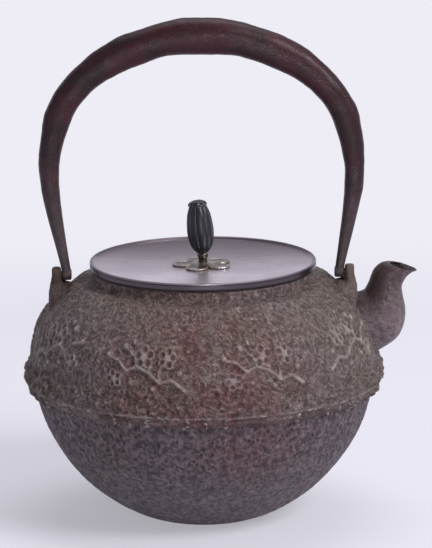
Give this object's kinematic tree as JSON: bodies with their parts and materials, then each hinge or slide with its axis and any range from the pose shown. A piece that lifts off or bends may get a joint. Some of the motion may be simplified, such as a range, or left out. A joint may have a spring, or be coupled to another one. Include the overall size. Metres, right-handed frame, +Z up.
{
  "type": "cast-iron tea kettle",
  "caption": "Round cast-iron water kettle with a ragged lapped skirt, short spout, swinging hollow bail handle and a wide lift-off bronze lid with a bud knob.",
  "frame": {"origin": "centre of the flat base, on the kettle's vertical axis", "axes": "+Z up, +X along the spout, -Y is the side that the picture shows as the front; the handle swings about a line along X"},
  "size_m": [0.1804, 0.1648, 0.23],
  "materials": {
    "cast_iron": "textured, brown-black patina with rust",
    "old_iron": "pitted, purple-brown patina",
    "forged_iron": "hand-forged, dark red-brown patina",
    "lid_bronze": "satin, purple-grey patinated bronze",
    "black_bronze": "dark, semi-gloss patinated bronze",
    "pale_metal": "satin, silvery alloy",
    "stem_metal": "satin, brown",
    "lacquer": "set lacquer filled with iron powder"
  },
  "bodies": {
    "kettle": {"lower_bowl": "old_iron", "lap_seal": "lacquer", "shoulder_shell": "cast_iron", "spout": "cast_iron", "right_lug": "cast_iron", "left_lug": "cast_iron"},
    "handle": {"handle_bow": "forged_iron", "handle_right_end": "forged_iron", "handle_left_end": "forged_iron"},
    "lid": {"lid_plate": "lid_bronze", "lid_collar": "lid_bronze", "flower_washer": "pale_metal", "under_washer": "pale_metal"},
    "knob": {"knob_tang": "stem_metal", "knob_bud": "black_bronze"}
  },
  "joints": [
    {"name": "handle_swing", "type": "hinge", "parent": "kettle", "child": "handle", "pos_m": [0, 0, 0.11227], "axis": [1, 0, 0], "range_deg": [-110, 110]},
    {"name": "lid_lift", "type": "slide", "parent": "kettle", "child": "lid", "axis": [0, 0, 1], "range_m": [0, 0.06]},
    {"name": "knob_turn", "type": "hinge", "parent": "lid", "child": "knob", "pos_m": [0, 0, 0.12], "axis": [0, 0, 1], "continuous": true}
  ]
}
